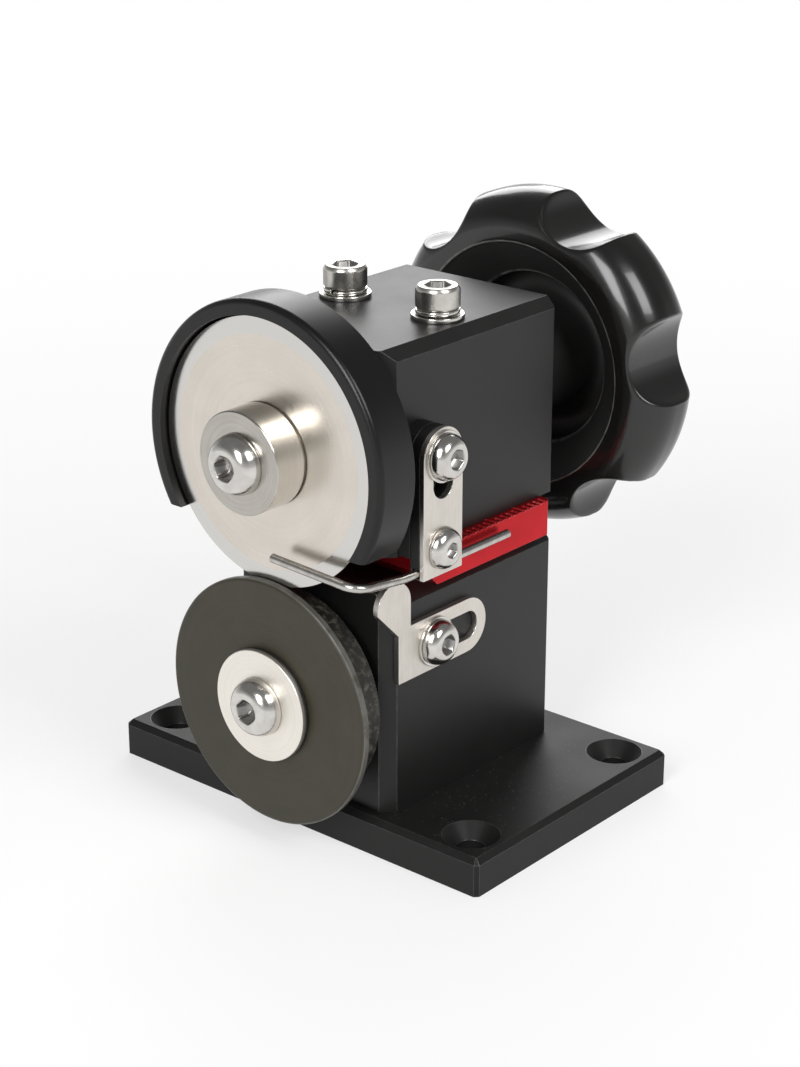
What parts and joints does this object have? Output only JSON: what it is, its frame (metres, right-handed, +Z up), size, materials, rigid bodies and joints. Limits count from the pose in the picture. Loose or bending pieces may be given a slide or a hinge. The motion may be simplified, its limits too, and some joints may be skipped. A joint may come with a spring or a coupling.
{
  "type": "leather edge trimmer",
  "caption": "Hand-turned leather lip trimmer: guarded round blade over a lower disc and knurled roller, sliding fence, wire and plate guides, lobed knob, bolt-down base.",
  "frame": {"origin": "middle of the base plate's underside", "axes": "+X to the operator's right (guide bracket side), +Y along the shafts to the hand knob, +Z up"},
  "size_m": [0.11, 0.1218, 0.1344],
  "materials": {
    "black_anodised": "satin black anodised",
    "red_anodised": "satin red anodised",
    "blackened_steel": "matt black oxide",
    "blade_steel": "fine turned satin",
    "turned_steel": "turned, lightly brushed",
    "bright_stainless": "polished stainless",
    "satin_stainless": "satin stainless",
    "bearing_steel": "ground and polished",
    "knob_plastic": "moulded gloss black"
  },
  "bodies": {
    "frame": {"base_plate": "black_anodised", "base_block_screws": "bright_stainless", "lower_block": "black_anodised", "upper_block": "black_anodised", "clamp_screws": "bright_stainless", "clamp_spring_washers": "bright_stainless", "clamp_flat_washers": "bright_stainless", "blade_guard": "black_anodised", "guard_screws": "bright_stainless", "bearing_outer_rings": "bearing_steel", "bearing_balls": "bearing_steel", "bearing_shields": "satin_stainless", "bearing_circlips": "blackened_steel", "guide_standoff": "black_anodised", "standoff_screws": "blackened_steel", "bracket_lock_washer": "bright_stainless", "bracket_lock_screw": "bright_stainless", "lip_guide_washer": "bright_stainless", "lip_guide_screw": "bright_stainless"},
    "spindle": {"blade_spindle": "turned_steel", "round_blade": "blade_steel", "blade_hub": "turned_steel", "blade_hub_screw": "bright_stainless", "spindle_inner_rings": "bearing_steel", "rear_collar": "turned_steel", "hand_knob": "knob_plastic", "knob_insert": "turned_steel", "knob_grub_screw": "blackened_steel", "knob_washer": "satin_stainless", "knob_screw": "bright_stainless"},
    "roller": {"roller_axle": "turned_steel", "feed_roller": "blackened_steel", "groove_ring": "blackened_steel", "lower_disc": "blackened_steel", "disc_spacer": "blackened_steel", "disc_washer": "satin_stainless", "disc_screw": "bright_stainless", "axle_inner_rings": "bearing_steel", "axle_circlip": "blackened_steel"},
    "fence": {"fence_slide": "red_anodised"},
    "bracket": {"guide_bracket": "satin_stainless", "wire_clamp_plate": "blackened_steel", "wire_clamp_screw": "bright_stainless"},
    "wire": {"guide_wire": "satin_stainless"},
    "lip_guide": {"lip_guide_plate": "satin_stainless"}
  },
  "joints": [
    {"name": "spindle_spin", "type": "hinge", "parent": "frame", "child": "spindle", "pos_m": [0.00375, 0, 0.0934], "axis": [0, 1, 0], "continuous": true},
    {"name": "roller_spin", "type": "hinge", "parent": "frame", "child": "roller", "pos_m": [0.00375, 0, 0.0354], "axis": [0, 1, 0], "continuous": true},
    {"name": "fence_travel", "type": "slide", "parent": "frame", "child": "fence", "axis": [0, 1, 0], "range_m": [-0.0035, 0.012]},
    {"name": "bracket_lift", "type": "slide", "parent": "frame", "child": "bracket", "axis": [0, 0, 1], "range_m": [0, 0.0035]},
    {"name": "wire_reach", "type": "slide", "parent": "bracket", "child": "wire", "axis": [0, -1, 0], "range_m": [-0.0005, 0.01]},
    {"name": "lip_guide_reach", "type": "slide", "parent": "frame", "child": "lip_guide", "axis": [0, -1, 0], "range_m": [0, 0.004]}
  ]
}
